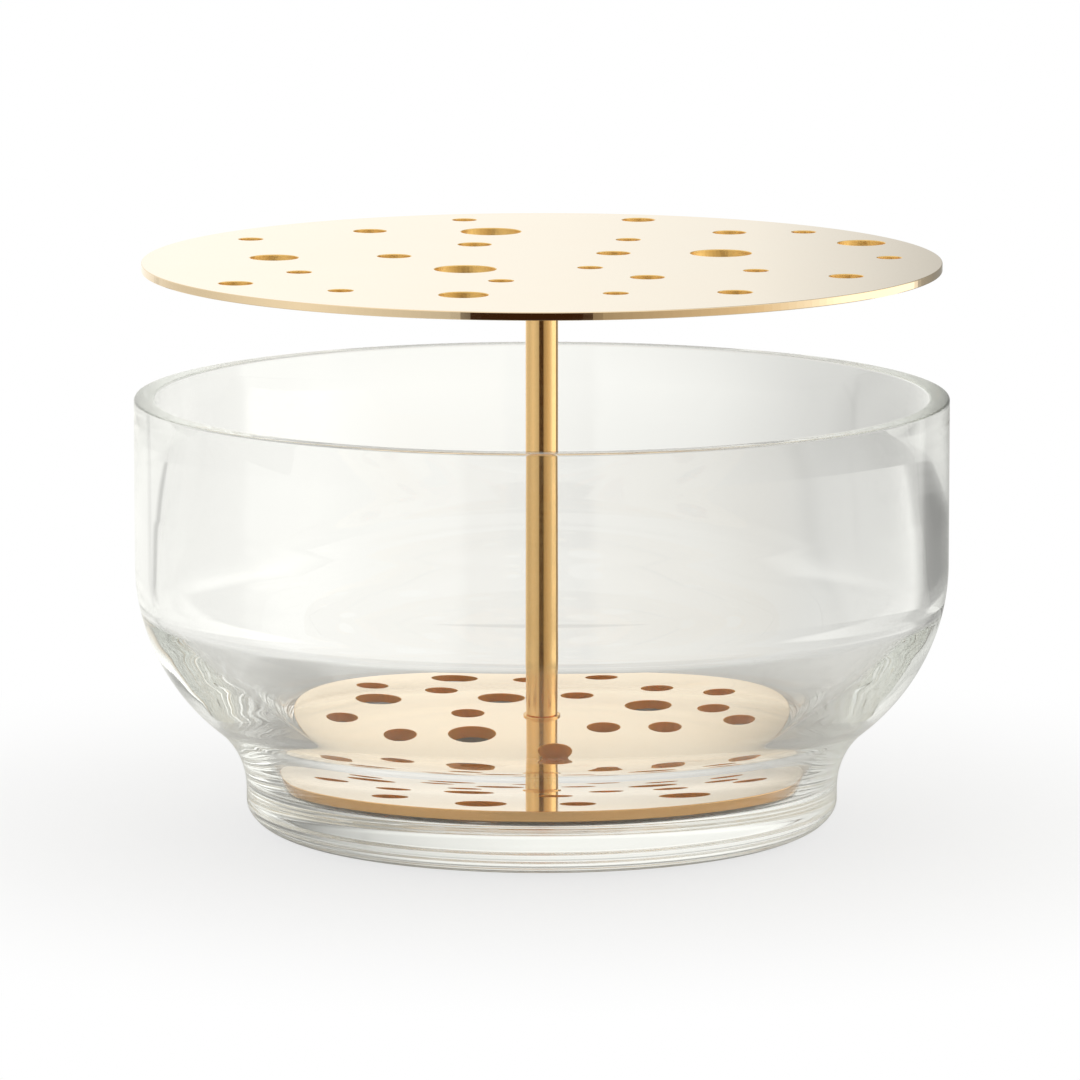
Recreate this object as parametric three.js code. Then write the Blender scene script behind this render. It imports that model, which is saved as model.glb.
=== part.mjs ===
// Ikebana vase: a clear glass bowl and a brass flower holder that lifts out of it.
// Units are millimetres, +Z is up, and the origin is the middle of the bowl's base.

import * as THREE from 'three';

// Glass bowl, outside: straight wall, round shoulder, hollow neck, upright foot, soft heel
const bowlRadius = 100;
const rimHeight = 107.2;
const shoulderRadius = 50.8;
const neckRadius = 20.8;
const footWall = 7.4;
const footBand = 2.5;
const heelWidth = 12;
const heelHeight = 7.5;

// Glass bowl, inside: the wall flares out to the rim, thins towards the belly, and thickens again
// towards the foot
const rimWall = 5;
const rimBevel = 0.6;
const flareWall = 6.9;
const flareDepth = 28;
const bellyWall = 5.4;
const bellyDrop = 10.1;
const bellyLean = 16.9;
const neckWall = 6.35;
const neckLean = 3.54;
const neckRun = 3.26;
const floorThickness = 12.6;
const wellLean = 15.7;
const wellStep = 0.8;
const wellCorner = 2.5;
const wellGap = 0.4;

// How far each end of the inner wall's two curves runs straight, as a share of the curve's chord
const bellyEase = 0.16;
const neckEaseUp = 0.51;
const neckEaseDown = 0.2;
const wellEase = 0.565;

// Brass plates, the bottom one thicker, so that it weighs the holder down
const topPlateRadius = 98;
const topPlateThickness = 2;
const bottomPlateRadius = 65;
const bottomPlateThickness = 3;

// Stem, and what fastens it between the plates
const plateRise = 31.3;
const stemRadius = 4;
const stemChamfer = 0.3;
const washerRadius = 4.7;
const washerThickness = 0.5;
const threadRadius = 2;
const threadLength = 10;
const boreGap = 0.3;
const boreSpare = 1;
const screwHeadRadius = 3.6;
const screwHeadHeight = 0.9;

// Soft pads under the bottom plate, the first a little right of the front. Their distance from
// the middle is a share of the plate's radius.
const padRadius = 4;
const padHeight = 1.2;
const padRounding = 0.8;
const padReach = 0.86;
const firstPadAngle = -67;
const padNames = ['pad_front', 'pad_right', 'pad_left'];
const restGap = 0.1;

// Stem holes: their drill sizes, and their centres as shares of the plate's radius
const topHoles = [
  {
    diameter: 6,
    centres: [
      [-0.74, 0.44], [-0.2, 0.85], [-0.6, -0.23], [-0.1, -0.4], [-0.49, -0.59], [0.22, 0.43],
      [0.67, 0.59], [0.87, 0.06], [0.12, -0.14], [0.53, -0.2], [0.18, -0.64],
    ],
  },
  {
    diameter: 8.2,
    centres: [
      [-0.44, 0.61], [-0.17, 0.33], [-0.37, 0.09], [-0.75, -0.45], [0.25, 0.85],
      [0.48, 0.58], [0.18, 0.15], [0.26, -0.33], [0.75, -0.31], [0.47, -0.62],
    ],
  },
  { diameter: 11.8, centres: [[-0.67, 0.06], [-0.19, -0.67], [0.81, 0.36]] },
  { diameter: 15, centres: [[-0.13, 0.6], [-0.19, -0.17], [0.45, 0.15]] },
];
const bottomHoles = [
  {
    diameter: 8.2,
    centres: [
      [-0.68, 0.5], [-0.79, -0.07], [-0.4, 0.44], [-0.29, 0.03], [-0.55, -0.26], [-0.05, 0.72],
      [0.24, 0.78], [0.46, 0.48], [0.71, 0.36], [0.14, 0.35], [0.68, 0.08], [0.24, -0.17],
      [0.48, -0.17], [0.78, -0.1], [0.05, -0.42], [-0.55, -0.61], [0.13, -0.78],
    ],
  },
  {
    diameter: 11.8,
    centres: [
      [-0.65, 0.24], [-0.35, 0.74], [-0.16, 0.3], [-0.27, -0.25], [0.42, 0.15], [-0.22, -0.78],
      [0.52, -0.55],
    ],
  },
];

// Facets of the round pieces, and steps along the curves of their profiles
const bowlSides = 64;
const plateSides = 96;
const holeSides = 16;
const rodSides = 24;
const longCurveSteps = 10;
const shortCurveSteps = 6;
const cornerSteps = 4;

// Sizes that follow from those above: the well takes the bottom plate, and the stem joins the plates
const wellRadius = bottomPlateRadius + wellGap;
const footRadius = wellRadius + footWall;
const neckHeight = heelHeight + footBand;
const padBottom = floorThickness + restGap;
const bottomPlateBottom = padBottom + padHeight;
const washerBottom = bottomPlateBottom + bottomPlateThickness;
const stemBottom = washerBottom + washerThickness;
const topPlateBottom = rimHeight + plateRise;
const stemLength = topPlateBottom - stemBottom;
const boreRadius = threadRadius + boreGap;

const glass = new THREE.MeshStandardMaterial({
  color: 0xe4ebe6,
  roughness: 0.05,
  metalness: 0,
  transparent: true,
  opacity: 0.35,
});
const brass = new THREE.MeshStandardMaterial({ color: 0xe0b878, roughness: 0.15, metalness: 1 });
const steel = new THREE.MeshStandardMaterial({ color: 0xb9b9b4, roughness: 0.35, metalness: 1 });
const silicone = new THREE.MeshStandardMaterial({
  color: 0xe8ecea,
  roughness: 0.3,
  metalness: 0,
  transparent: true,
  opacity: 0.5,
});

function point(radius, height) {
  return new THREE.Vector2(radius, height);
}

function arc(centre, width, height, start, end, steps) {
  const clockwise = end < start;
  const curve = new THREE.EllipseCurve(centre.x, centre.y, width, height, start, end, clockwise);
  return curve.getPoints(steps);
}

function bezier(start, startHandle, endHandle, end, steps) {
  return new THREE.CubicBezierCurve(start, startHandle, endHandle, end).getPoints(steps);
}

// A direction up a wall that leans outwards by an angle in degrees
function upWall(lean) {
  const angle = THREE.MathUtils.degToRad(lean);
  return point(Math.sin(angle), Math.cos(angle));
}

// Turns a profile of radius and height about the Z axis
function turned(profile, sides) {
  return new THREE.LatheGeometry(profile, sides).rotateX(Math.PI / 2);
}

function named(name, geometry, material) {
  const mesh = new THREE.Mesh(geometry, material);
  mesh.name = name;
  return mesh;
}

// The bowl's section: the shoulder's arc and the neck's arc touch at the bend, and the inner wall
// runs straight just above it
function bowlGeometry() {
  const shoulderReach = bowlRadius - shoulderRadius;
  const across = footRadius + neckRadius - shoulderReach;
  const down = Math.sqrt((shoulderRadius + neckRadius) ** 2 - across ** 2);
  const bendAngle = Math.atan2(down, across);
  const shoulderCentre = point(shoulderReach, neckHeight + down);
  const neckCentre = point(footRadius + neckRadius, neckHeight);
  const heelCentre = point(footRadius - heelWidth, heelHeight);
  const outside = [
    ...arc(heelCentre, heelWidth, heelHeight, -Math.PI / 2, 0, cornerSteps),
    ...arc(neckCentre, neckRadius, neckRadius, Math.PI, Math.PI - bendAngle, shortCurveSteps),
    ...arc(shoulderCentre, shoulderRadius, shoulderRadius, -bendAngle, 0, longCurveSteps).slice(1),
    point(bowlRadius, rimHeight - rimBevel),
    point(bowlRadius - rimBevel, rimHeight),
  ];

  const outward = point(Math.cos(bendAngle), -Math.sin(bendAngle));
  const bend = shoulderCentre.clone().addScaledVector(outward, shoulderRadius - neckWall);
  const bendUp = upWall(THREE.MathUtils.radToDeg(bendAngle) - neckLean);
  const runTop = bend.clone().addScaledVector(bendUp, neckRun);
  const rimInside = point(bowlRadius - rimWall, rimHeight - rimBevel);
  const flareBend = point(bowlRadius - flareWall, rimHeight - flareDepth / 2);
  const flareEnd = point(bowlRadius - flareWall, rimHeight - flareDepth);
  const flare = new THREE.QuadraticBezierCurve(rimInside, flareBend, flareEnd);
  const belly = point(bowlRadius - bellyWall, shoulderCentre.y - bellyDrop);
  const bellyUp = upWall(bellyLean);
  const well = point(wellRadius, floorThickness + wellStep);
  const wellUp = upWall(wellLean);
  const upper = belly.distanceTo(runTop);
  const lower = bend.distanceTo(well);
  const inside = [
    point(bowlRadius - rimWall + rimBevel, rimHeight),
    ...flare.getPoints(cornerSteps),
    ...bezier(
      belly,
      belly.clone().addScaledVector(bellyUp, -bellyEase * upper),
      runTop.clone().addScaledVector(bendUp, neckEaseUp * upper),
      runTop,
      longCurveSteps,
    ),
    ...bezier(
      bend,
      bend.clone().addScaledVector(bendUp, -neckEaseDown * lower),
      well.clone().addScaledVector(wellUp, wellEase * lower),
      well,
      shortCurveSteps,
    ),
    ...bezier(
      well,
      well.clone().addScaledVector(wellUp, -wellStep / 2),
      point(well.x - wellCorner / 2, floorThickness),
      point(well.x - wellCorner, floorThickness),
      cornerSteps,
    ).slice(1),
  ];
  return turned([point(0, 0), ...outside, ...inside, point(0, floorThickness)], bowlSides);
}

function ring(x, y, radius, sides) {
  const points = [];
  for (let side = 0; side < sides; side += 1) {
    const angle = (2 * Math.PI * side) / sides;
    points.push(point(x + radius * Math.cos(angle), y + radius * Math.sin(angle)));
  }
  return points;
}

// A disc drilled with stem holes and, where a screw passes, a hole in the middle
function plateGeometry(radius, thickness, holeGroups, middleHoleRadius) {
  const disc = new THREE.Shape(ring(0, 0, radius, plateSides));
  for (const { diameter, centres } of holeGroups) {
    for (const [x, y] of centres) {
      disc.holes.push(new THREE.Path(ring(x * radius, y * radius, diameter / 2, holeSides)));
    }
  }
  if (middleHoleRadius > 0) {
    disc.holes.push(new THREE.Path(ring(0, 0, middleHoleRadius, rodSides)));
  }
  return new THREE.ExtrudeGeometry(disc, { depth: thickness, bevelEnabled: false });
}

// The rod has a blind threaded bore in each end
function stemGeometry() {
  const boreDepth = threadLength + boreSpare;
  const profile = [
    point(0, boreDepth),
    point(boreRadius, boreDepth),
    point(boreRadius, 0),
    point(stemRadius - stemChamfer, 0),
    point(stemRadius, stemChamfer),
    point(stemRadius, stemLength - stemChamfer),
    point(stemRadius - stemChamfer, stemLength),
    point(boreRadius, stemLength),
    point(boreRadius, stemLength - boreDepth),
    point(0, stemLength - boreDepth),
  ];
  return turned(profile, rodSides);
}

function washerGeometry() {
  const profile = [
    point(boreRadius, 0),
    point(washerRadius, 0),
    point(washerRadius, washerThickness),
    point(boreRadius, washerThickness),
    point(boreRadius, 0),
  ];
  return turned(profile, rodSides);
}

// Hangs down from the underside of the top plate
function studGeometry() {
  const profile = [
    point(0, -threadLength),
    point(threadRadius, -threadLength),
    point(threadRadius, 0),
    point(0, 0),
  ];
  return turned(profile, rodSides);
}

// Head below the bottom plate, shank up through plate and washer into the stem
function screwGeometry() {
  const shankTop = bottomPlateThickness + washerThickness + threadLength;
  const profile = [
    point(0, -screwHeadHeight),
    point(screwHeadRadius, -screwHeadHeight),
    point(screwHeadRadius, 0),
    point(threadRadius, 0),
    point(threadRadius, shankTop),
    point(0, shankTop),
  ];
  return turned(profile, rodSides);
}

function padGeometry() {
  const flat = padRadius - padRounding;
  const profile = [
    point(0, 0),
    ...arc(point(flat, padRounding), padRounding, padRounding, -Math.PI / 2, 0, cornerSteps),
    point(padRadius, padHeight),
    point(0, padHeight),
  ];
  return turned(profile, rodSides);
}

function pad(index) {
  const angle = THREE.MathUtils.degToRad(firstPadAngle + (360 * index) / padNames.length);
  const mesh = named(padNames[index], padGeometry(), silicone);
  const reach = padReach * bottomPlateRadius;
  mesh.position.set(reach * Math.cos(angle), reach * Math.sin(angle), padBottom);
  return mesh;
}

function raised(mesh, height) {
  mesh.position.z = height;
  return mesh;
}

const holder = new THREE.Group();
holder.add(
  raised(
    named('top_plate', plateGeometry(topPlateRadius, topPlateThickness, topHoles, 0), brass),
    topPlateBottom,
  ),
  raised(named('top_stud', studGeometry(), brass), topPlateBottom),
  raised(named('stem', stemGeometry(), brass), stemBottom),
  raised(named('stem_washer', washerGeometry(), brass), washerBottom),
  raised(
    named(
      'bottom_plate',
      plateGeometry(bottomPlateRadius, bottomPlateThickness, bottomHoles, boreRadius),
      brass,
    ),
    bottomPlateBottom,
  ),
  raised(named('bottom_screw', screwGeometry(), steel), bottomPlateBottom),
  ...padNames.map((name, index) => pad(index)),
);

const vase = new THREE.Group();
vase.add(named('glass_bowl', bowlGeometry(), glass), holder);

export default vase;
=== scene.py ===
"""Ikebana vase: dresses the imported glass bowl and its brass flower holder, and sets the studio."""

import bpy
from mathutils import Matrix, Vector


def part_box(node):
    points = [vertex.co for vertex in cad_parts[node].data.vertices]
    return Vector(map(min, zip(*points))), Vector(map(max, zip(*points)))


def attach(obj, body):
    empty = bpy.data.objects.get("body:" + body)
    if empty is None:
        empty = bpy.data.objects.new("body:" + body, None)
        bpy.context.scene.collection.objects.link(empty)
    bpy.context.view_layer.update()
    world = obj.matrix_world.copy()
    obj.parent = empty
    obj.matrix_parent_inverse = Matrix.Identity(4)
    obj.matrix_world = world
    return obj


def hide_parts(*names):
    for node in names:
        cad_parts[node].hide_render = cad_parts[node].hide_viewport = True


bl_info = {
    "name": "Ikebana Vase",
    "version": (1, 0, 0),
    "blender": (4, 5, 0),
    "location": "3D View > Sidebar > Vase",
    "description": "Builds a clear glass bowl with a perforated brass flower holder, and a light tent",
    "category": "Object",
}

import math

import bpy
import numpy as np

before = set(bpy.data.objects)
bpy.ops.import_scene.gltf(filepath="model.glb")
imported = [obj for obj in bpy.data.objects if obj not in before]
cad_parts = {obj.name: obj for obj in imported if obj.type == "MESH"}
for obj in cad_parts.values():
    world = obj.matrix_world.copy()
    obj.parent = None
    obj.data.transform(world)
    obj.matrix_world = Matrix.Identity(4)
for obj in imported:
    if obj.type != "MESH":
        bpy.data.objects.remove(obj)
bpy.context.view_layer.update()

MM = 0.001
QUARTER_TURN = math.pi / 2

# Sides of the turned pieces, and of a plate's holes and rim
BOWL_SIDES = 384
ROD_SIDES = 96
SCREW_SIDES = 64
SMALL_SIDES = 48
STUDIO_SIDES = 128
HOLE_SIDES = 48
RIM_SIDES = 256
# Steps down the wall of a plate's hole or rim
WALL_STEPS = 5
# Points of a plate that are nearer to each other than this are joined
WELD_GAP = 0.002 * MM
# A turned profile's points that are nearer to the axis than this stand on it
ON_AXIS = 1e-9
# The mix node's sockets for two colours and for their mix, which share their names with other sockets
COLOUR_A = 6
COLOUR_B = 7
MIXED_COLOUR = 2

bowl_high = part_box("glass_bowl")[1]


def linear(code):
    """An sRGB hex colour as linear red, green, blue and alpha."""
    values = [int(code[i : i + 2], 16) / 255 for i in (1, 3, 5)]
    return (*[v / 12.92 if v <= 0.04045 else ((v + 0.055) / 1.055) ** 2.4 for v in values], 1.0)


def size_setting(name, description, metres):
    """A setting for a size."""
    return bpy.props.FloatProperty(name=name, description=description, default=metres, unit="LENGTH")


def angle_setting(name, description, degrees):
    """A setting for an angle."""
    radians = math.radians(degrees)
    return bpy.props.FloatProperty(name=name, description=description, default=radians, unit="ROTATION")


def number_setting(name, description, number):
    """A setting for a share, a slope, a brightness or another plain number."""
    return bpy.props.FloatProperty(name=name, description=description, default=number)


def colour_setting(name, description, code):
    """A setting for a colour."""
    return bpy.props.FloatVectorProperty(
        name=name, description=description, default=linear(code), size=4, min=0.0, max=1.0, subtype="COLOR"
    )


class BowlSettings(bpy.types.PropertyGroup):
    """Sizes and colour of the glass bowl."""

    radius: size_setting("Radius", "Outside radius of the upper wall", bowl_high.x)
    height: size_setting("Height", "Height of the rim over the table", bowl_high.z)
    shoulder_radius: size_setting("Shoulder", "Radius of the round shoulder's section", 50.8 * MM)
    neck_radius: size_setting("Neck", "Radius of the hollow neck's section", 20.8 * MM)
    foot_radius: size_setting("Foot", "Outside radius of the foot", 72.8 * MM)
    foot_band: size_setting("Foot Band", "Upright part of the foot", 2.5 * MM)
    heel_width: size_setting("Heel Width", "Width of the rounded heel", 12 * MM)
    heel_height: size_setting("Heel Height", "Height of the rounded heel", 7.5 * MM)
    rim_wall: size_setting("Rim Wall", "Thickness of the glass at the rim", 5 * MM)
    rim_rounding: size_setting("Rim Rounding", "Rounding of the rim's two edges", 0.6 * MM)
    flare_wall: size_setting("Flare Wall", "Thickness of the glass below the rim's flare", 6.9 * MM)
    flare_depth: size_setting("Flare Depth", "Height of the flare inside the rim", 28 * MM)
    belly_wall: size_setting("Belly Wall", "Thickness of the glass at the shoulder", 5.4 * MM)
    belly_drop: size_setting("Belly Drop", "How far the inner shoulder starts lower", 10.1 * MM)
    belly_lean: angle_setting("Belly Lean", "How far the inner shoulder leans out where it starts", 16.9)
    belly_round: size_setting("Belly Round", "Rounding above the inner shoulder", 5 * MM)
    belly_ease: number_setting("Belly Ease", "Straight share of the inner shoulder's upper end", 0.16)
    neck_wall: size_setting("Neck Wall", "Thickness of the glass at the bend", 6.35 * MM)
    neck_run: size_setting("Neck Run", "Straight run of the inner wall above the bend", 3.26 * MM)
    neck_lean: angle_setting("Neck Lean", "How much more upright the inside is at the bend", 3.54)
    neck_ease_up: number_setting("Neck Ease Up", "Straight share above the run", 0.51)
    neck_ease_down: number_setting("Neck Ease Down", "Straight share below the bend", 0.2)
    floor: size_setting("Floor", "Thickness of the glass floor", 12.6 * MM)
    well_radius: size_setting("Well", "Inside radius of the well for the lower plate", 65.4 * MM)
    well_lean: angle_setting("Well Lean", "How far the well's wall leans outwards", 15.7)
    well_ease: number_setting("Well Ease", "Straight share above the well", 0.565)
    well_step: size_setting("Well Step", "Height of the well's rounded corner", 0.8 * MM)
    well_corner: size_setting("Well Corner", "Width of the well's rounded corner", 2.5 * MM)
    tint: colour_setting("Tint", "Colour that the glass takes where it is thick", "#F3F5F2")
    tint_density: number_setting("Tint Density", "How fast the tint deepens with the glass", 3.0)


class HolderSettings(bpy.types.PropertyGroup):
    """Sizes and colours of the brass flower holder."""

    edge_break: size_setting("Edge Break", "Rounding of the plates' edges and holes", 0.2 * MM)
    bore: size_setting("Bore", "Radius of the bores in the stem and its washer", 2.3 * MM)
    bore_depth: size_setting("Bore Depth", "Depth of the bores in the stem's ends", 11 * MM)
    chamfer: size_setting("Chamfer", "Chamfer of the stem's, the stud's and the screw's ends", 0.3 * MM)
    washer_chamfer: size_setting("Washer Chamfer", "Chamfer of the washer's edges", 0.1 * MM)
    shank: size_setting("Shank", "Radius of the screw's shank", 2 * MM)
    head_rounding: size_setting("Head Rounding", "Rounding of the screw's head", 0.4 * MM)
    pad_dome: size_setting("Pad Dome", "Height of a pad's rounded side", 0.8 * MM)
    face: colour_setting("Face", "Colour of the plates' polished faces", "#FFEBCF")
    haze: colour_setting("Haze", "Colour of the faces where the polish is hazy", "#FFEFD7")
    upper_rim: colour_setting("Upper Rim", "Colour of the upper plate's edge", "#F5DCB6")
    # The lower edge's deeper gold is painted shade: a darker, more saturated copy of the upper edge's colour
    lower_rim_painted_shade: colour_setting("Lower Rim", "Colour of the lower plate's edge", "#EFC084")
    # The hole walls' deeper gold is painted light, standing in for light bounced off brass
    upper_holes_painted_light: colour_setting("Upper Holes", "Colour of the upper plate's hole walls", "#F4CC80")
    # The lower hole walls' brighter gold is painted light, making up for the light that the upper plate holds
    # back
    lower_holes_painted_light: colour_setting("Lower Holes", "Colour of the lower plate's hole walls", "#FFCE73")
    rod: colour_setting("Rod", "Colour of the stem, its washer and the stud", "#F1C98C")
    screw: colour_setting("Screw", "Colour of the screw", "#BDBDB8")
    pads: colour_setting("Pads", "Colour of the clear pads", "#EEF1EE")


class StudioSettings(bpy.types.PropertyGroup):
    """The camera, the light tent and the table."""

    distance: size_setting("Distance", "From the lens to the vase", 2.3)
    elevation: angle_setting("Elevation", "How far the camera looks down", 8.83)
    aim_height: size_setting("Aim Height", "Height that the camera aims at", 71.3 * MM)
    aim_side: size_setting("Aim Side", "How far to the right the camera aims", -0.44 * MM)
    lens: bpy.props.FloatProperty(name="Lens", description="Focal length", default=311.87, unit="CAMERA")
    tent_radius: size_setting("Tent Radius", "Radius of the light tent", 0.3)
    tent_height: size_setting("Tent Height", "Height of the light tent", 0.6)
    gap_height: size_setting("Gap Height", "Height of the gap in the tent's front", 165 * MM)
    gap_blend: size_setting("Gap Blend", "Height in which the lower light gives way to the upper", 30 * MM)
    back_slope: number_setting("Back Slope", "How steeply the upper light comes down towards the back", 0.4)
    fade_start: size_setting("Fade Start", "Height where the tent starts to fade", 90 * MM)
    fade_end: size_setting("Fade End", "Height where the tent has faded", 170 * MM)
    fade_level: number_setting("Fade Level", "Brightness that is left above the fade", 0.92)
    roof: number_setting("Roof", "Brightness of the tent's roof", 0.9)
    surround: number_setting("Surround", "Brightness outside the tent, as the vase sees it", 0.8)
    table_drop: size_setting("Table Drop", "Gap between the vase and the table", 0.02 * MM)
    table_near: size_setting("Table Near", "Radius where the table's own light starts", 110 * MM)
    table_far: size_setting("Table Far", "Radius where the table's own light is full", 200 * MM)
    shadow_near: size_setting("Shadow Near", "Radius where the vase's shadow starts to fade", 80 * MM)
    shadow_far: size_setting("Shadow Far", "Radius where the vase's shadow ends", 240 * MM)
    shadow_share: number_setting("Shadow Share", "How much of the shadow the camera sees", 0.25)


def add_node(tree, kind, inputs=None, **settings):
    """Adds a node, sets its options, and sets or links its inputs by name or number."""
    node = tree.nodes.new(kind)
    for name, value in settings.items():
        setattr(node, name, value)
    for key, value in (inputs or {}).items():
        if isinstance(value, bpy.types.NodeSocket):
            tree.links.new(value, node.inputs[key])
        else:
            node.inputs[key].default_value = value
    return node


def empty_material(name):
    """A new material with an empty node tree."""
    material = bpy.data.materials.new(name)
    material.use_nodes = True
    material.node_tree.nodes.clear()
    return material


def arc_points(centre, width, height, start, end, steps):
    """Points along part of an ellipse, as radius and height."""
    return [
        (centre[0] + width * math.cos(angle), centre[1] + height * math.sin(angle))
        for angle in np.linspace(start, end, steps + 1)
    ]


def bezier_points(start, start_handle, end_handle, end, steps):
    """Points along a cubic curve, as radius and height."""
    share = np.linspace(0, 1, steps + 1)[:, None]
    rest = 1 - share
    line = rest**3 * np.array(start) + 3 * share * rest**2 * np.array(start_handle)
    line = line + 3 * share**2 * rest * np.array(end_handle) + share**3 * np.array(end)
    return [tuple(p) for p in line]


def line_points(start, end, steps):
    """Points along a straight line, without its two ends."""
    return [
        (start[0] + (end[0] - start[0]) * s, start[1] + (end[1] - start[1]) * s)
        for s in np.linspace(0, 1, steps + 1)[1:-1]
    ]


def turned_mesh(name, profile, sides, centre=(0.0, 0.0)):
    """Turns a profile of radius and height about an upright axis. One that ends where it starts is a ring."""
    closed = profile[0] == profile[-1]
    rings = []
    points = []
    for radius, height in profile[:-1] if closed else profile:
        if radius < ON_AXIS:
            rings.append([len(points)] * sides)
            points.append((*centre, height))
            continue
        rings.append(list(range(len(points), len(points) + sides)))
        for side in range(sides):
            angle = 2 * math.pi * side / sides
            x = centre[0] + radius * math.cos(angle)
            y = centre[1] + radius * math.sin(angle)
            points.append((x, y, height))
    faces = []
    for low, high in zip(rings, rings[1:] + rings[:1] if closed else rings[1:]):
        for side in range(sides):
            after = (side + 1) % sides
            corners = list(dict.fromkeys((low[side], low[after], high[after], high[side])))
            if len(corners) > 2:
                faces.append(corners)
    mesh = bpy.data.meshes.new(name)
    mesh.from_pydata(points, [], faces)
    mesh.validate()
    return mesh


def place(name, mesh, body, nodes, material=None, crease=math.radians(30)):
    """Puts a finished mesh in the scene, on its body, in the place of its CAD nodes."""
    if material is not None:
        mesh.materials.append(material)
        mesh.polygons.foreach_set("use_smooth", [True] * len(mesh.polygons))
        mesh.set_sharp_from_angle(angle=crease)
    piece = bpy.data.objects.new(name, mesh)
    bpy.context.scene.collection.objects.link(piece)
    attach(piece, body)
    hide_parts(*nodes)
    return piece


def clear_glass(bowl):
    """Clear soda-lime glass, blown in a mould: colourless in the wall, faintly green where it is thick."""
    material = empty_material("clear_soda_glass")
    tree = material.node_tree
    glass = add_node(
        tree,
        "ShaderNodeBsdfPrincipled",
        {"Base Color": linear("#FFFFFF"), "Roughness": 0.0, "IOR": 1.52, "Transmission Weight": 1.0},
    )
    tint = add_node(tree, "ShaderNodeVolumeAbsorption", {"Color": bowl.tint, "Density": bowl.tint_density})
    add_node(
        tree,
        "ShaderNodeOutputMaterial",
        {"Surface": glass.outputs["BSDF"], "Volume": tint.outputs["Volume"]},
    )
    return material


def polished_brass(holder):
    """Brass sheet, buffed to a mirror: a faint haze changes its tone and how sharply it mirrors."""
    material = empty_material("polished_brass")
    tree = material.node_tree
    spot = add_node(tree, "ShaderNodeTexCoord").outputs["Object"]
    haze = add_node(
        tree,
        "ShaderNodeTexNoise",
        {"Vector": spot, "Scale": 1 / (25 * MM), "Detail": 3.0, "Roughness": 0.6},
    )
    tone = add_node(
        tree,
        "ShaderNodeMix",
        {"Factor": haze.outputs["Fac"], COLOUR_A: holder.face, COLOUR_B: holder.haze},
        data_type="RGBA",
    )
    rough = add_node(
        tree,
        "ShaderNodeMapRange",
        {"Value": haze.outputs["Fac"], "From Min": 0.3, "From Max": 0.7, "To Min": 0.05, "To Max": 0.09},
    )
    metal = add_node(
        tree,
        "ShaderNodeBsdfPrincipled",
        {"Base Color": tone.outputs[MIXED_COLOUR], "Metallic": 1.0, "Roughness": rough.outputs["Result"]},
    )
    add_node(tree, "ShaderNodeOutputMaterial", {"Surface": metal.outputs["BSDF"]})
    return material


def worked_surface(name, look, mark, detail, roughness, squeeze=1.0, contrast=(0.3, 0.7)):
    """A material whose marks, of a real size, change its roughness. Squeezed ones are level lines."""
    material = empty_material(name)
    tree = material.node_tree
    spot = add_node(tree, "ShaderNodeTexCoord").outputs["Object"]
    squeezed = add_node(tree, "ShaderNodeMapping", {"Vector": spot, "Scale": (1.0, 1.0, squeeze)})
    marks = add_node(
        tree, "ShaderNodeTexNoise", {"Vector": squeezed.outputs[0], "Scale": 1 / mark, "Detail": detail}
    )
    rough = add_node(
        tree,
        "ShaderNodeMapRange",
        {
            "Value": marks.outputs["Fac"],
            "From Min": contrast[0],
            "From Max": contrast[1],
            "To Min": roughness[0],
            "To Max": roughness[1],
        },
    )
    surface = add_node(tree, "ShaderNodeBsdfPrincipled", {**look, "Roughness": rough.outputs["Result"]})
    add_node(tree, "ShaderNodeOutputMaterial", {"Surface": surface.outputs["BSDF"]})
    return material


def turned_brass(name, tone):
    """Brass plate edges, turned on a lathe: fine lines run round, drawn 0.2 mm apart so that they show."""
    look = {"Base Color": tone, "Metallic": 1.0}
    return worked_surface(name, look, mark=8 * MM, detail=2.0, roughness=(0.06, 0.12), squeeze=40.0)


def drilled_brass_painted_light(name, tone, roughness):
    """Brass hole walls, left as drilled: their deeper gold is painted light, standing in for light that has
    bounced off brass before.
    """
    look = {"Base Color": tone, "Metallic": 1.0}
    return worked_surface(name, look, mark=1.5 * MM, detail=3.0, roughness=roughness, squeeze=6.0)


def rod_brass(tone):
    """Brass rod, polished as it turns: lines round it, drawn 0.5 mm apart, smear its mirror images."""
    look = {"Base Color": tone, "Metallic": 1.0, "Anisotropic": 1.0, "Anisotropic Rotation": 0.25}
    return worked_surface("rod_brass", look, mark=6 * MM, detail=2.0, roughness=(0.16, 0.2), squeeze=12.0)


def plated_steel(tone):
    """A bright plated steel screw: a satin head with slight mottling."""
    look = {"Base Color": tone, "Metallic": 1.0}
    return worked_surface(
        "plated_steel", look, mark=1.5 * MM, detail=3.0, roughness=(0.25, 0.4), contrast=(0.0, 1.0)
    )


def clear_silicone(tone):
    """A moulded clear silicone bumper: soft gloss and a faint bloom."""
    look = {"Base Color": tone, "IOR": 1.41, "Transmission Weight": 0.9}
    return worked_surface(
        "clear_silicone", look, mark=1.2 * MM, detail=2.0, roughness=(0.08, 0.2), contrast=(0.0, 1.0)
    )


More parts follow.
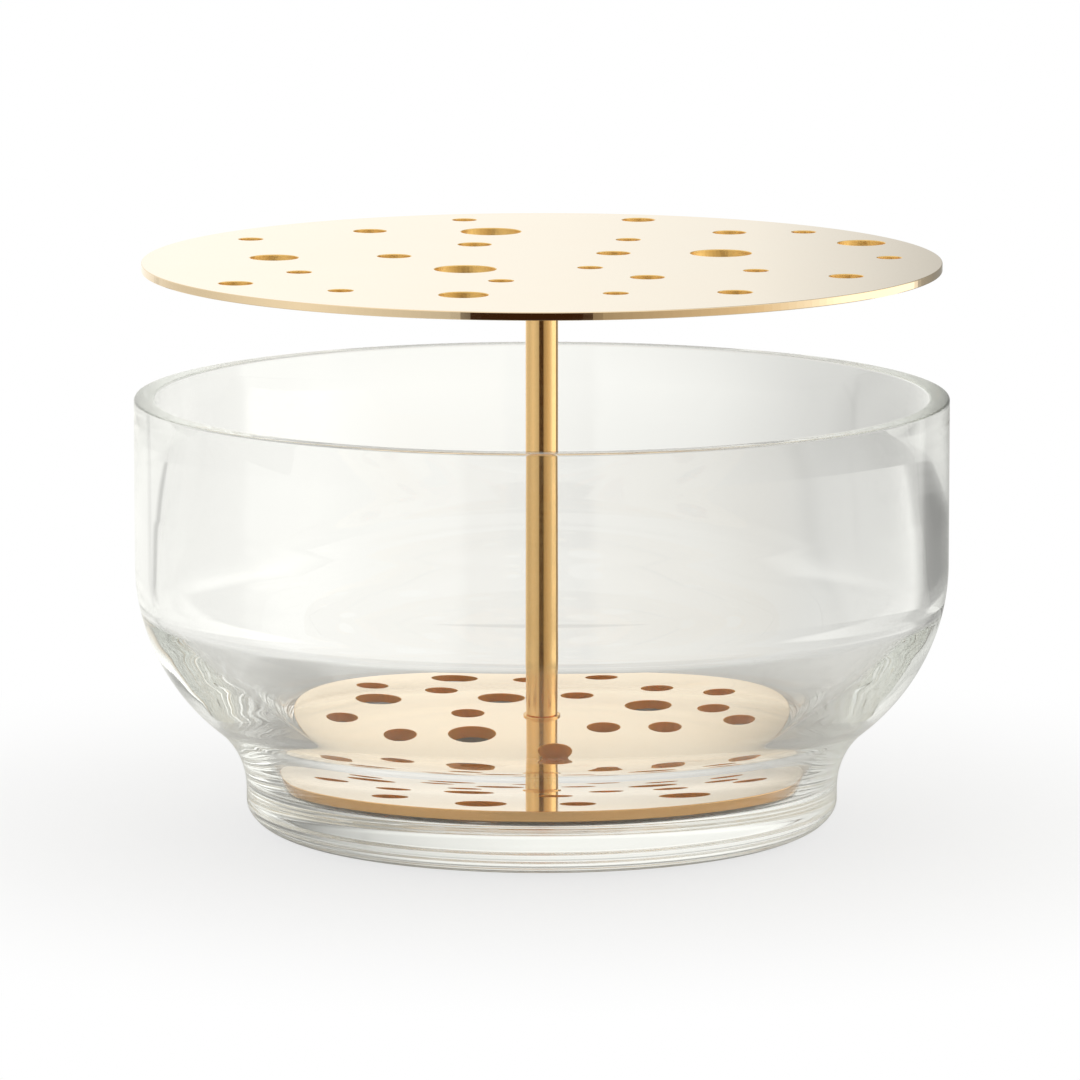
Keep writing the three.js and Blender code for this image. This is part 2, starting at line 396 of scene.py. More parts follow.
def glass_profile(bowl):
    """The bowl's section: base, heel, foot, neck, shoulder, wall, rim, and down the inside to the floor."""
    reach = bowl.radius - bowl.shoulder_radius
    across = bowl.foot_radius + bowl.neck_radius - reach
    down = math.sqrt((bowl.shoulder_radius + bowl.neck_radius) ** 2 - across**2)
    bend_angle = math.atan2(down, across)
    neck_height = bowl.heel_height + bowl.foot_band
    shoulder = np.array((reach, neck_height + down))
    neck = (bowl.foot_radius + bowl.neck_radius, neck_height)
    heel = (bowl.foot_radius - bowl.heel_width, bowl.heel_height)
    rounding = bowl.rim_rounding
    inner = bowl.radius - bowl.rim_wall
    edge_height = bowl.height - rounding
    outer_edge = (bowl.radius - rounding, edge_height)
    inner_edge = (inner + rounding, edge_height)
    outside = [
        (0.0, 0.0),
        *line_points((0.0, 0.0), (heel[0], 0.0), steps=3),
        *arc_points(heel, bowl.heel_width, bowl.heel_height, -QUARTER_TURN, 0, steps=24),
        *line_points((bowl.foot_radius, bowl.heel_height), (bowl.foot_radius, neck_height), steps=3),
        *arc_points(neck, bowl.neck_radius, bowl.neck_radius, math.pi, math.pi - bend_angle, steps=32),
        *arc_points(shoulder, bowl.shoulder_radius, bowl.shoulder_radius, -bend_angle, 0, steps=56)[1:],
        *line_points((bowl.radius, shoulder[1]), (bowl.radius, edge_height), steps=4),
        *arc_points(outer_edge, rounding, rounding, 0, QUARTER_TURN, steps=6),
    ]

    def up(lean):
        """The direction that leans outwards from the upright by an angle."""
        return np.array((math.sin(lean), math.cos(lean)))

    outward = np.array((math.cos(bend_angle), -math.sin(bend_angle)))
    bend = shoulder + (bowl.shoulder_radius - bowl.neck_wall) * outward
    bend_up = up(bend_angle - bowl.neck_lean)
    rim_inside = np.array((inner, edge_height))
    flare_end = np.array((bowl.radius - bowl.flare_wall, bowl.height - bowl.flare_depth))
    flare_bend = np.array((flare_end[0], bowl.height - bowl.flare_depth / 2))
    belly = np.array((bowl.radius - bowl.belly_wall, shoulder[1] - bowl.belly_drop))
    belly_up = up(bowl.belly_lean)
    wall_up = (flare_end - belly) / np.linalg.norm(flare_end - belly)
    wall_end = belly + bowl.belly_round * wall_up
    well = np.array((bowl.well_radius, bowl.floor + bowl.well_step))
    well_up = up(bowl.well_lean)
    run_top = bend + bowl.neck_run * bend_up
    upper = np.linalg.norm(belly - run_top)
    lower = np.linalg.norm(bend - well)
    corner_end = (well[0] - bowl.well_corner, bowl.floor)
    curve = bezier_points(
        belly,
        belly - bowl.belly_ease * upper * belly_up,
        run_top + bowl.neck_ease_up * upper * bend_up,
        run_top,
        steps=50,
    )
    # The wall meets the shoulder's curve a tenth of the way along it, in a soft corner
    cut = len(curve) // 10
    curve_up = np.array(curve[cut - 1]) - np.array(curve[cut])
    curve_up = curve_up / np.linalg.norm(curve_up)
    soft = bowl.belly_round / 2
    # The flare bends about one point, which a cubic curve's two handles reach two thirds of the way to
    inside = [
        *line_points((outer_edge[0], bowl.height), (inner_edge[0], bowl.height), steps=3),
        *arc_points(inner_edge, rounding, rounding, QUARTER_TURN, math.pi, steps=6),
        *bezier_points(
            rim_inside,
            rim_inside + (flare_bend - rim_inside) * 2 / 3,
            flare_end + (flare_bend - flare_end) * 2 / 3,
            flare_end,
            steps=16,
        )[1:],
        *line_points(flare_end, wall_end, steps=4),
        *bezier_points(
            wall_end, wall_end - soft * wall_up, curve[cut] + soft * curve_up, curve[cut], steps=10
        ),
        *curve[cut + 1 :],
        *line_points(run_top, bend, steps=6),
        *bezier_points(
            bend,
            bend - bowl.neck_ease_down * lower * bend_up,
            well + bowl.well_ease * lower * well_up,
            well,
            steps=32,
        ),
        *bezier_points(
            well,
            well - bowl.well_step / 2 * well_up,
            (well[0] - bowl.well_corner / 2, bowl.floor),
            corner_end,
            steps=8,
        )[1:],
        *line_points(corner_end, (0.0, bowl.floor), steps=3),
        (0.0, bowl.floor),
    ]
    return outside + inside


class VASE_OT_bowl(bpy.types.Operator):
    """Turn the glass bowl from its section"""

    bl_idname = "vase.bowl"
    bl_label = "Glass Bowl"

    def execute(self, context):
        bowl = context.scene.vase_bowl
        mesh = turned_mesh("bowl_glass", glass_profile(bowl), BOWL_SIDES)
        place("bowl_glass", mesh, "bowl", ["glass_bowl"], clear_glass(bowl), crease=math.radians(60))
        return {"FINISHED"}


def drilled_holes(node):
    """Centres and radii of a plate's holes, from the edges that only one triangle of its top face has."""
    facing_up = 0.9
    same_level = 0.1 * MM
    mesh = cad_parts[node].data
    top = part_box(node)[1].z
    spots = [(round(v.co.x, 6), round(v.co.y, 6)) for v in mesh.vertices]
    edges = set()
    for face in mesh.polygons:
        if face.normal.z > facing_up and abs(face.center.z - top) < same_level:
            corners = [spots[i] for i in face.vertices]
            edges.update(zip(corners, corners[1:] + corners[:1]))
    after = dict(edge for edge in edges if edge[::-1] not in edges)
    holes = []
    while after:
        loop = [next(iter(after))]
        while loop[-1] in after:
            loop.append(after.pop(loop[-1]))
        ring = np.array(loop[:-1])
        centre = ring.mean(0)
        holes.append((*centre, np.linalg.norm(ring - centre, axis=1).mean()))
    # The widest loop is the plate's rim
    holes.sort(key=lambda hole: hole[2])
    return holes[:-1]


def plate_tree():
    """Geometry nodes for a perforated plate: two faces, a rounded rim and a rounded wall in every hole."""
    tree = bpy.data.node_groups.new("perforated_plate", "GeometryNodeTree")
    for name, kind in (
        ("Geometry", "NodeSocketGeometry"),
        ("Plate Radius", "NodeSocketFloat"),
        ("Bottom Height", "NodeSocketFloat"),
        ("Thickness", "NodeSocketFloat"),
        ("Edge Break", "NodeSocketFloat"),
        ("Hole Sides", "NodeSocketInt"),
        ("Rim Sides", "NodeSocketInt"),
        ("Face Finish", "NodeSocketMaterial"),
        ("Rim Finish", "NodeSocketMaterial"),
        ("Hole Finish", "NodeSocketMaterial"),
    ):
        tree.interface.new_socket(name, in_out="INPUT", socket_type=kind)
    tree.interface.new_socket("Geometry", in_out="OUTPUT", socket_type="NodeSocketGeometry")
    given = add_node(tree, "NodeGroupInput").outputs
    hole_radius = add_node(
        tree, "GeometryNodeInputNamedAttribute", {"Name": "hole_radius"}, data_type="FLOAT"
    ).outputs["Attribute"]

    # The two faces fill the space between the rim's circle and the holes' circles
    face_hole = add_node(tree, "ShaderNodeMath", {0: hole_radius, 1: given["Edge Break"]}, operation="ADD")
    circle = add_node(
        tree, "GeometryNodeCurvePrimitiveCircle", {"Resolution": given["Hole Sides"], "Radius": 1.0}
    )
    circles = add_node(
        tree,
        "GeometryNodeInstanceOnPoints",
        {"Points": given["Geometry"], "Instance": circle.outputs["Curve"], "Scale": face_hole.outputs[0]},
    )
    hole_circles = add_node(tree, "GeometryNodeRealizeInstances", {0: circles.outputs[0]})
    flat_radius = add_node(
        tree, "ShaderNodeMath", {0: given["Plate Radius"], 1: given["Edge Break"]}, operation="SUBTRACT"
    )
    rim_circle = add_node(
        tree,
        "GeometryNodeCurvePrimitiveCircle",
        {"Resolution": given["Rim Sides"], "Radius": flat_radius.outputs[0]},
    )
    outline = add_node(tree, "GeometryNodeJoinGeometry", {0: rim_circle.outputs["Curve"]})
    tree.links.new(hole_circles.outputs[0], outline.inputs[0])
    face = add_node(tree, "GeometryNodeFillCurve", {0: outline.outputs[0]})
    underside = add_node(tree, "GeometryNodeFlipFaces", {0: face.outputs[0]})
    top_height = add_node(
        tree, "ShaderNodeMath", {0: given["Bottom Height"], 1: given["Thickness"]}, operation="ADD"
    )
    top_lift = add_node(tree, "ShaderNodeCombineXYZ", {2: top_height.outputs[0]})
    bottom_lift = add_node(tree, "ShaderNodeCombineXYZ", {2: given["Bottom Height"]})
    top = add_node(tree, "GeometryNodeSetPosition", {0: face.outputs[0], "Offset": top_lift.outputs[0]})
    bottom = add_node(
        tree, "GeometryNodeSetPosition", {0: underside.outputs[0], "Offset": bottom_lift.outputs[0]}
    )
    faces = add_node(tree, "GeometryNodeJoinGeometry", {0: top.outputs[0]})
    tree.links.new(bottom.outputs[0], faces.inputs[0])
    flat_faces = add_node(tree, "GeometryNodeSetShadeSmooth", {0: faces.outputs[0], "Shade Smooth": False})

    def tube(sides):
        """A tube, one unit high, that remembers where each of its points starts."""
        shape = add_node(
            tree,
            "GeometryNodeMeshCylinder",
            {"Vertices": sides, "Side Segments": WALL_STEPS, "Radius": 1.0, "Depth": 1.0},
            fill_type="NONE",
        )
        start = add_node(tree, "GeometryNodeInputPosition")
        return add_node(
            tree,
            "GeometryNodeStoreNamedAttribute",
            {0: shape.outputs["Mesh"], "Name": "wall_spot", "Value": start.outputs[0]},
            data_type="FLOAT_VECTOR",
        ).outputs[0]

    # Each ring's share of a quarter turn gives its place on the rounded edge
    spot = add_node(
        tree, "GeometryNodeInputNamedAttribute", {"Name": "wall_spot"}, data_type="FLOAT_VECTOR"
    ).outputs["Attribute"]
    parts = add_node(tree, "ShaderNodeSeparateXYZ", {0: spot})
    from_middle = add_node(tree, "ShaderNodeMath", {0: parts.outputs[2]}, operation="ABSOLUTE")
    turn = add_node(
        tree,
        "ShaderNodeMapRange",
        {
            "Value": from_middle.outputs[0],
            "From Min": 0.5,
            "From Max": 0.5 / WALL_STEPS,
            "To Min": 0.0,
            "To Max": QUARTER_TURN,
        },
    )
    # How far the rounded edge stands back from the wall, and how far it lies below the face
    offsets = []
    for operation in ("SINE", "COSINE"):
        part = add_node(tree, "ShaderNodeMath", {0: turn.outputs[0]}, operation=operation)
        rest = add_node(tree, "ShaderNodeMath", {0: 1.0, 1: part.outputs[0]}, operation="SUBTRACT")
        offset = add_node(
            tree, "ShaderNodeMath", {0: given["Edge Break"], 1: rest.outputs[0]}, operation="MULTIPLY"
        )
        offsets.append(offset.outputs[0])
    flare, depth = offsets
    half = add_node(tree, "ShaderNodeMath", {0: given["Thickness"], 1: 0.5}, operation="MULTIPLY").outputs[0]
    from_centre = add_node(tree, "ShaderNodeMath", {0: half, 1: depth}, operation="SUBTRACT")
    side = add_node(tree, "ShaderNodeMath", {0: parts.outputs[2]}, operation="SIGN")
    lift = add_node(
        tree, "ShaderNodeMath", {0: from_centre.outputs[0], 1: side.outputs[0]}, operation="MULTIPLY"
    )
    middle = add_node(tree, "ShaderNodeMath", {0: given["Bottom Height"], 1: half}, operation="ADD")
    height = add_node(tree, "ShaderNodeMath", {0: middle.outputs[0], 1: lift.outputs[0]}, operation="ADD")
    outwards = add_node(tree, "ShaderNodeCombineXYZ", {0: parts.outputs[0], 1: parts.outputs[1]})
    raised = add_node(tree, "ShaderNodeCombineXYZ", {2: height.outputs[0]})

    def wall(geometry, radius, mark):
        """Moves a tube's rings out to a radius and to their heights, and marks its faces."""
        now = add_node(tree, "GeometryNodeInputPosition")
        centre = add_node(tree, "ShaderNodeVectorMath", {0: now.outputs[0], 1: spot}, operation="SUBTRACT")
        reach = add_node(
            tree, "ShaderNodeVectorMath", {0: outwards.outputs[0], "Scale": radius}, operation="SCALE"
        )
        level = add_node(
            tree, "ShaderNodeVectorMath", {0: centre.outputs[0], 1: reach.outputs[0]}, operation="ADD"
        )
        place_at = add_node(
            tree, "ShaderNodeVectorMath", {0: level.outputs[0], 1: raised.outputs[0]}, operation="ADD"
        )
        moved = add_node(tree, "GeometryNodeSetPosition", {0: geometry, "Position": place_at.outputs[0]})
        return add_node(
            tree,
            "GeometryNodeStoreNamedAttribute",
            {0: moved.outputs[0], "Name": mark, "Value": True},
            data_type="BOOLEAN",
            domain="FACE",
        ).outputs[0]

    tubes = add_node(
        tree,
        "GeometryNodeInstanceOnPoints",
        {"Points": given["Geometry"], "Instance": tube(given["Hole Sides"])},
    )
    hole_tubes = add_node(tree, "GeometryNodeRealizeInstances", {0: tubes.outputs[0]})
    wider = add_node(tree, "ShaderNodeMath", {0: hole_radius, 1: flare}, operation="ADD")
    narrower = add_node(tree, "ShaderNodeMath", {0: given["Plate Radius"], 1: flare}, operation="SUBTRACT")
    hole_wall = wall(hole_tubes.outputs[0], wider.outputs[0], "hole_wall")
    rim_wall = wall(tube(given["Rim Sides"]), narrower.outputs[0], "rim_wall")
    inward = add_node(tree, "GeometryNodeFlipFaces", {0: hole_wall})
    joined = add_node(tree, "GeometryNodeJoinGeometry", {0: inward.outputs[0]})
    tree.links.new(rim_wall, joined.inputs[0])
    tree.links.new(flat_faces.outputs[0], joined.inputs[0])
    whole = add_node(tree, "GeometryNodeRealizeInstances", {0: joined.outputs[0]})
    welded = add_node(tree, "GeometryNodeMergeByDistance", {0: whole.outputs[0], "Distance": WELD_GAP})
    finished = add_node(
        tree, "GeometryNodeSetMaterial", {0: welded.outputs[0], "Material": given["Face Finish"]}
    )
    for mark, finish in (("rim_wall", "Rim Finish"), ("hole_wall", "Hole Finish")):
        marked = add_node(tree, "GeometryNodeInputNamedAttribute", {"Name": mark}, data_type="BOOLEAN")
        finished = add_node(
            tree,
            "GeometryNodeSetMaterial",
            {0: finished.outputs[0], "Selection": marked.outputs["Attribute"], "Material": given[finish]},
        )
    add_node(tree, "NodeGroupOutput", {0: finished.outputs[0]})
    return tree


def perforated_plate(name, node, tree, edge_break, finishes):
    """A plate with the CAD node's size and holes, made by the geometry nodes."""
    low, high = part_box(node)
    holes = drilled_holes(node)
    seeds = bpy.data.meshes.new(name + "_holes")
    seeds.from_pydata([(x, y, 0.0) for x, y, radius in holes], [], [])
    radii = seeds.attributes.new("hole_radius", "FLOAT", "POINT")
    radii.data.foreach_set("value", [radius for x, y, radius in holes])
    maker = bpy.data.objects.new(name + "_maker", seeds)
    bpy.context.scene.collection.objects.link(maker)
    modifier = maker.modifiers.new("plate", "NODES")
    modifier.node_group = tree
    face, rim, hole = finishes
    values = {
        "Plate Radius": high.x,
        "Bottom Height": low.z,
        "Thickness": high.z - low.z,
        "Edge Break": edge_break,
        "Hole Sides": HOLE_SIDES,
        "Rim Sides": RIM_SIDES,
        "Face Finish": face,
        "Rim Finish": rim,
        "Hole Finish": hole,
    }
    for socket in tree.interface.items_tree:
        if socket.in_out == "INPUT" and socket.name in values:
            modifier[socket.identifier] = values[socket.name]
    evaluated = maker.evaluated_get(bpy.context.evaluated_depsgraph_get())
    mesh = bpy.data.meshes.new_from_object(evaluated)
    mesh.name = name
    bpy.data.objects.remove(maker)
    if not mesh.polygons:
        raise RuntimeError(name + " has no faces")
    return mesh


class VASE_OT_plates(bpy.types.Operator):
    """Make the two perforated brass plates"""

    bl_idname = "vase.plates"
    bl_label = "Perforated Plates"

    def execute(self, context):
        holder = context.scene.vase_holder
        tree = plate_tree()
        face = polished_brass(holder)
        # The lower edge's colour is a deeper gold painted in as shade, because light reaches it only past the
        # upper plate and the glass
        upper_rim = turned_brass("turned_brass", holder.upper_rim)
        lower_rim_painted_shade = turned_brass("turned_brass_painted_shade", holder.lower_rim_painted_shade)
        # The thicker plate's holes are rougher, and scatter the light that falls in from above. Their
        # brighter gold is painted light, for the light that the upper plate holds back
        upper_hole = drilled_brass_painted_light("drilled_brass_painted_light", holder.upper_holes_painted_light, (0.3, 0.5))
        lower_hole = drilled_brass_painted_light("rough_drilled_brass_painted_light", holder.lower_holes_painted_light, (0.9, 1.0))
        for name, node, rim, hole in (
            ("upper_plate", "top_plate", upper_rim, upper_hole),
            ("lower_plate", "bottom_plate", lower_rim_painted_shade, lower_hole),
        ):
            mesh = perforated_plate(name, node, tree, holder.edge_break, (face, rim, hole))
            place(name, mesh, "holder", [node])
        return {"FINISHED"}


class VASE_OT_stem(bpy.types.Operator):
    """Turn the stem, its washer and the two fasteners"""

    bl_idname = "vase.stem"
    bl_label = "Stem and Fasteners"

    def execute(self, context):
        holder = context.scene.vase_holder
        chamfer = holder.chamfer
        bore = holder.bore

        low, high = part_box("stem")
        radius = high.x
        lower_bore_end = low.z + holder.bore_depth
        upper_bore_end = high.z - holder.bore_depth
        stem = [
            (0.0, lower_bore_end),
            (bore, lower_bore_end),
            (bore, low.z),
            (radius - chamfer, low.z),
            (radius, low.z + chamfer),
            (radius, high.z - chamfer),
            (radius - chamfer, high.z),
            (bore, high.z),
            (bore, upper_bore_end),
            (0.0, upper_bore_end),
        ]

        low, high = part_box("stem_washer")
        radius = high.x
        edge = holder.washer_chamfer
        washer = [
            (bore, low.z),
            (radius - edge, low.z),
            (radius, low.z + edge),
            (radius, high.z - edge),
            (radius - edge, high.z),
            (bore, high.z),
            (bore, low.z),
        ]

        low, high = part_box("top_stud")
        radius = high.x
        stud = [
            (0.0, low.z),
            (radius - chamfer, low.z),
            (radius, low.z + chamfer),
            (radius, high.z),
            (0.0, high.z),
        ]

        low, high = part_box("bottom_screw")
        radius = high.x
        edge = holder.head_rounding
        shank = holder.shank
        head_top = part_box("bottom_plate")[0].z
        screw = [
            (0.0, low.z),
            *arc_points((radius - edge, low.z + edge), edge, edge, -QUARTER_TURN, 0, steps=6),
            (radius, head_top),
            (shank, head_top),
            (shank, high.z - chamfer),
            (shank - chamfer, high.z),
            (0.0, high.z),
        ]

        rod = rod_brass(holder.rod)
        steel = plated_steel(holder.screw)
        for name, profile, sides, node, slot, finish in (
            ("brass_stem", stem, ROD_SIDES, "stem", "brass", rod),
            ("foot_washer", washer, ROD_SIDES, "stem_washer", "brass", rod),
            ("upper_stud", stud, SMALL_SIDES, "top_stud", "brass", rod),
            ("lower_screw", screw, SCREW_SIDES, "bottom_screw", "steel", steel),
        ):
            place(name, turned_mesh(name, profile, sides), "holder", [node], finish)
        return {"FINISHED"}


class VASE_OT_pads(bpy.types.Operator):
    """Make the soft clear pads under the lower plate"""

    bl_idname = "vase.pads"
    bl_label = "Clear Pads"

    def execute(self, context):
        holder = context.scene.vase_holder
        dome = holder.pad_dome
        silicone = clear_silicone(holder.pads)
        for node in ("pad_front", "pad_right", "pad_left"):
            low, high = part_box(node)
            centre = ((low.x + high.x) / 2, (low.y + high.y) / 2)
            radius = (high.x - low.x) / 2
            profile = [
                (0.0, low.z),
                *arc_points((radius - dome, low.z + dome), dome, dome, -QUARTER_TURN, 0, steps=12),
                (radius, high.z),
                (0.0, high.z),
            ]
            name = "clear_" + node
            mesh = turned_mesh(name, profile, SMALL_SIDES, centre)
            place(name, mesh, "holder", [node], silicone)
        return {"FINISHED"}


CLOTH = "#FFFFFA"
CREAM = "#FFF0D6"
ROOM = "#FFA868"
# Light of the tent round the vase at table height: degrees from the front, with right as positive, then
# brightness and colour. The dim warm room shows in the gap that the camera looks through.
LOW_RING = (
    (-180, 0.98, CLOTH), (-165, 0.98, CLOTH), (-150, 0.97, CLOTH), (-130, 0.92, CLOTH),
    (-128.5, 0.5, CLOTH), (-126.5, 0.5, CLOTH), (-125, 0.88, CLOTH), (-111, 0.78, CLOTH),
    (-98, 0.76, CLOTH), (-80, 0.86, CLOTH), (-61, 0.96, CLOTH), (-45, 0.82, CLOTH),
    (-30, 0.7, CLOTH), (-20, 0.6, CLOTH), (-17, 0.04, ROOM), (11, 0.04, ROOM),
    (14, 0.42, CREAM), (39, 0.66, CREAM), (54, 0.85, CREAM), (70, 1.1, CLOTH),
    (82, 1.6, CLOTH), (116, 1.6, CLOTH), (120, 0.5, CLOTH), (124, 0.36, CLOTH),
    (134, 0.28, CLOTH), (147, 0.28, CLOTH), (154, 0.48, CLOTH), (161, 0.62, CLOTH),
    (161.4, 0.4, CLOTH), (161.8, 0.64, CLOTH), (170, 0.82, CLOTH), (180, 0.98, CLOTH),
)
# The same higher up, where the gap is closed and the back is brighter
HIGH_RING = (
    (-180, 1.08, CLOTH), (-160, 1.16, CLOTH), (-130, 1.0, CLOTH), (-100, 0.9, CLOTH),
    (-66, 1.0, CLOTH), (-30, 1.1, CLOTH), (0, 1.1, CLOTH), (30, 1.1, CLOTH),
    (66, 1.0, CLOTH), (90, 1.3, CLOTH), (112, 1.3, CLOTH), (120, 0.5, CLOTH),
    (134, 0.32, CLOTH), (147, 0.32, CLOTH), (154, 0.5, CLOTH), (163, 0.84, CLOTH),
    (169, 1.0, CLOTH), (174, 1.04, CLOTH), (180, 1.08, CLOTH),
)
# The same on the outer part of the table, as the glass and the metal see it
TABLE_RING = (
    (-180, 0.85, CLOTH), (-150, 0.93, CLOTH), (-135, 0.85, CLOTH), (-120, 0.68, CLOTH),
    (-90, 0.64, CLOTH), (-60, 0.75, CLOTH), (-45, 0.8, CLOTH), (-22, 0.7, CLOTH),
    (-18, 0.1, CLOTH), (12, 0.1, CLOTH), (16, 0.5, CREAM), (45, 0.67, CLOTH),
    (90, 0.55, CLOTH), (120, 0.48, CLOTH), (135, 0.53, CLOTH), (150, 0.61, CLOTH),
    (165, 0.72, CLOTH), (180, 0.85, CLOTH),
)
# A ramp's colours stop at one, so brightness is held as a share of this
BRIGHTEST = 2.5


def turn_share(tree, spot):
    """The share of a turn from the back, of a place on the tent or the table."""
    towards = add_node(tree, "ShaderNodeMath", {0: spot.outputs[1], 1: -1.0}, operation="MULTIPLY")
    turn = add_node(
        tree, "ShaderNodeMath", {0: spot.outputs[0], 1: towards.outputs[0]}, operation="ARCTAN2"
    )
    share = add_node(
        tree, "ShaderNodeMapRange", {"Value": turn.outputs[0], "From Min": -math.pi, "From Max": math.pi}
    )
    return share.outputs["Result"]


def ring_of_light(tree, share, stops):
    """A colour ramp round the vase."""
    ramp = add_node(tree, "ShaderNodeValToRGB", {"Fac": share})
    elements = ramp.color_ramp.elements
    while len(elements) < len(stops):
        elements.new(0.5)
    for element, (degrees, brightness, tint) in zip(elements, stops):
        element.position = (degrees + 180) / 360
        element.color = (*[brightness / BRIGHTEST * part for part in linear(tint)[:3]], 1.0)
    return ramp.outputs["Color"]


def tent_cloth(studio):
    """Lit tent cloth: its light changes round the vase, and the camera looks through a dark gap in front."""
    material = empty_material("lit_tent_cloth")
    tree = material.node_tree
    point = add_node(tree, "ShaderNodeTexCoord").outputs["Object"]
    spot = add_node(tree, "ShaderNodeSeparateXYZ", {0: point})
    share = turn_share(tree, spot)
    # The gap has one height all along the front, and the upper light comes down lower at the back
    behind = add_node(tree, "ShaderNodeMath", {0: spot.outputs[1], 1: 0.0}, operation="MAXIMUM")
    slant = add_node(
        tree,
        "ShaderNodeMath",
        {0: behind.outputs[0], 1: studio.back_slope, 2: spot.outputs[2]},
        operation="MULTIPLY_ADD",
    )
    gap_end = studio.gap_height + studio.gap_blend
    rise = add_node(
        tree,
        "ShaderNodeMapRange",
        {"Value": slant.outputs[0], "From Min": studio.gap_height, "From Max": gap_end},
        interpolation_type="SMOOTHSTEP",
    )
    # It fades a little above the vase
    faded = studio.fade_level * BRIGHTEST
    fade = add_node(
        tree,
        "ShaderNodeMapRange",
        {
            "Value": spot.outputs[2],
            "From Min": studio.fade_start,
            "From Max": studio.fade_end,
            "To Min": BRIGHTEST,
            "To Max": faded,
        },
    )
    colour = add_node(
        tree,
        "ShaderNodeMix",
        {
            "Factor": rise.outputs["Result"],
            COLOUR_A: ring_of_light(tree, share, LOW_RING),
            COLOUR_B: ring_of_light(tree, share, HIGH_RING),
        },
        data_type="RGBA",
    )
    light = add_node(
        tree,
        "ShaderNodeEmission",
        {"Color": colour.outputs[MIXED_COLOUR], "Strength": fade.outputs["Result"]},
    )
    add_node(tree, "ShaderNodeOutputMaterial", {"Surface": light.outputs[0]})
    return material


def lit_roof(studio):
    """The tent's evenly lit roof."""
    material = empty_material("lit_roof")
    tree = material.node_tree
    light = add_node(tree, "ShaderNodeEmission", {"Color": linear("#FFFFFF"), "Strength": studio.roof})
    add_node(tree, "ShaderNodeOutputMaterial", {"Surface": light.outputs[0]})
    return material


def pale_table(studio):
    """A matt white table: the camera sees it white, with the vase's soft shadow."""
    material = empty_material("matt_white_table")
    tree = material.node_tree
    matt = add_node(tree, "ShaderNodeBsdfDiffuse", {"Color": linear("#E6E6E4")})
    white = add_node(tree, "ShaderNodeEmission", {"Color": linear("#FFFFFF"), "Strength": 1.0})
    spot = add_node(tree, "ShaderNodeTexCoord").outputs["Object"]
    away = add_node(tree, "ShaderNodeVectorMath", {0: spot}, operation="LENGTH").outputs["Value"]
    near = add_node(
        tree,
        "ShaderNodeMapRange",
        {
            "Value": away,
            "From Min": studio.shadow_near,
            "From Max": studio.shadow_far,
            "To Min": studio.shadow_share,
            "To Max": 0.0,
        },
        interpolation_type="SMOOTHSTEP",
    )
    seen = add_node(
        tree, "ShaderNodeMixShader", {0: near.outputs["Result"], 1: white.outputs[0], 2: matt.outputs[0]}
    )
    # Glass and metal see the table as matt near the vase, and farther out as a glow of painted light from all
    # round, which changes round the vase
    outer = add_node(
        tree,
        "ShaderNodeMapRange",
        {"Value": away, "From Min": studio.table_near, "From Max": studio.table_far},
        interpolation_type="SMOOTHSTEP",
    )
    share = turn_share(tree, add_node(tree, "ShaderNodeSeparateXYZ", {0: spot}))
    lit = add_node(
        tree, "ShaderNodeEmission", {"Color": ring_of_light(tree, share, TABLE_RING), "Strength": BRIGHTEST}
    )
    mirrored = add_node(
        tree, "ShaderNodeMixShader", {0: outer.outputs["Result"], 1: matt.outputs[0], 2: lit.outputs[0]}
    )
    ray = add_node(tree, "ShaderNodeLightPath")
    table = add_node(
        tree,
        "ShaderNodeMixShader",
        {0: ray.outputs["Is Camera Ray"], 1: mirrored.outputs[0], 2: seen.outputs[0]},
    )
    add_node(tree, "ShaderNodeOutputMaterial", {"Surface": table.outputs[0]})
    return material


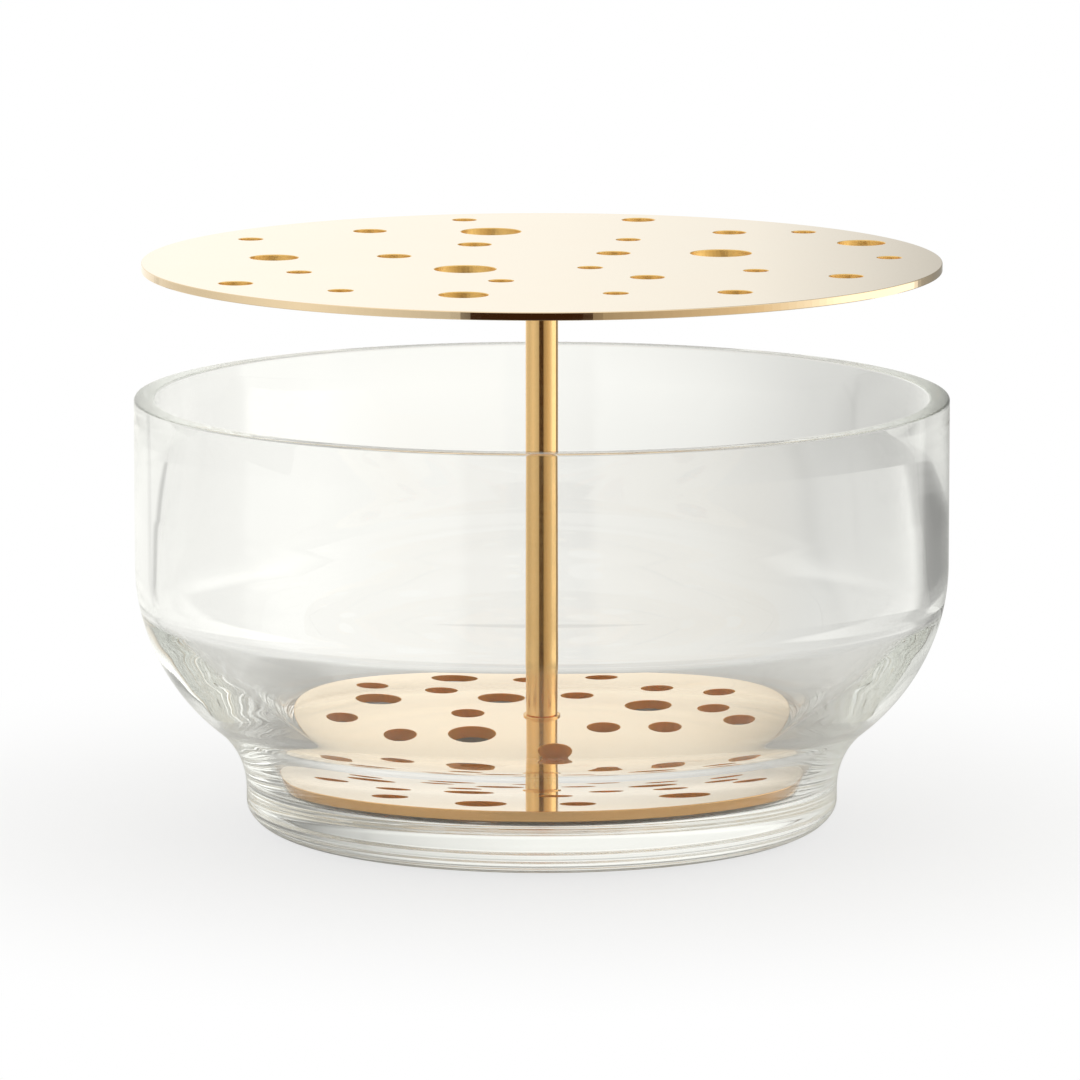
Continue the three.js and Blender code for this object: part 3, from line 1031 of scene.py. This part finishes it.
class VASE_OT_studio(bpy.types.Operator):
    """Set the camera, the table, the light tent and the white background"""

    bl_idname = "vase.studio"
    bl_label = "Studio"

    def execute(self, context):
        scene = context.scene
        studio = scene.vase_studio
        data = bpy.data.cameras.new("camera")
        data.lens = studio.lens
        data.sensor_width = 36
        data.clip_end = 20
        camera = bpy.data.objects.new("camera", data)
        scene.collection.objects.link(camera)
        back = studio.distance * math.cos(studio.elevation)
        rise = studio.distance * math.sin(studio.elevation)
        camera.location = (studio.aim_side, -back, studio.aim_height + rise)
        camera.rotation_euler = (QUARTER_TURN - studio.elevation, 0, 0)
        scene.camera = camera

        radius = studio.tent_radius
        height = studio.tent_height
        items = []
        for name, profile, material in (
            ("light_tent", [(radius, 0.0), (radius, height)], tent_cloth(studio)),
            ("tent_roof", [(0.0, height), (radius, height)], lit_roof(studio)),
            ("table", [(0.0, 0.0), (radius, 0.0)], pale_table(studio)),
        ):
            item = bpy.data.objects.new(name, turned_mesh(name, profile, STUDIO_SIDES))
            item.data.materials.append(material)
            scene.collection.objects.link(item)
            items.append(item)
        tent, roof, table = items
        table.location.z = -studio.table_drop
        for item in (tent, roof):
            item.visible_camera = False
            item.visible_shadow = False

        world = bpy.data.worlds.new("white_background")
        scene.world = world
        world.use_nodes = True
        tree = world.node_tree
        tree.nodes.clear()
        ray = add_node(tree, "ShaderNodeLightPath")
        level = add_node(
            tree,
            "ShaderNodeMapRange",
            {"Value": ray.outputs["Is Camera Ray"], "To Min": studio.surround, "To Max": 1.0},
        )
        sky = add_node(
            tree,
            "ShaderNodeBackground",
            {"Color": linear("#FFFFFF"), "Strength": level.outputs["Result"]},
        )
        add_node(tree, "ShaderNodeOutputWorld", {"Surface": sky.outputs[0]})

        scene.view_settings.view_transform = "Standard"
        # Light runs along inside the thick glass wall, mirrored many times, before it leaves
        scene.cycles.max_bounces = 128
        scene.cycles.transmission_bounces = 48
        scene.cycles.glossy_bounces = 128
        return {"FINISHED"}


class VASE_PT_panel(bpy.types.Panel):
    """The vase's pieces and the studio"""

    bl_idname = "VASE_PT_panel"
    bl_label = "Ikebana Vase"
    bl_space_type = "VIEW_3D"
    bl_region_type = "UI"
    bl_category = "Vase"

    def draw(self, context):
        for operator in OPERATORS:
            self.layout.operator(operator.bl_idname)
        for group in (context.scene.vase_bowl, context.scene.vase_holder, context.scene.vase_studio):
            box = self.layout.box()
            for name in group.__annotations__:
                box.prop(group, name)


OPERATORS = (VASE_OT_bowl, VASE_OT_plates, VASE_OT_stem, VASE_OT_pads, VASE_OT_studio)
CLASSES = (BowlSettings, HolderSettings, StudioSettings, *OPERATORS, VASE_PT_panel)


def register():
    for item in CLASSES:
        bpy.utils.register_class(item)
    bpy.types.Scene.vase_bowl = bpy.props.PointerProperty(type=BowlSettings)
    bpy.types.Scene.vase_holder = bpy.props.PointerProperty(type=HolderSettings)
    bpy.types.Scene.vase_studio = bpy.props.PointerProperty(type=StudioSettings)


def unregister():
    del bpy.types.Scene.vase_studio
    del bpy.types.Scene.vase_holder
    del bpy.types.Scene.vase_bowl
    for item in reversed(CLASSES):
        bpy.utils.unregister_class(item)


def main():
    register()
    bpy.ops.vase.bowl()
    bpy.ops.vase.plates()
    bpy.ops.vase.stem()
    bpy.ops.vase.pads()
    bpy.ops.vase.studio()


if __name__ == "__main__":
    main()
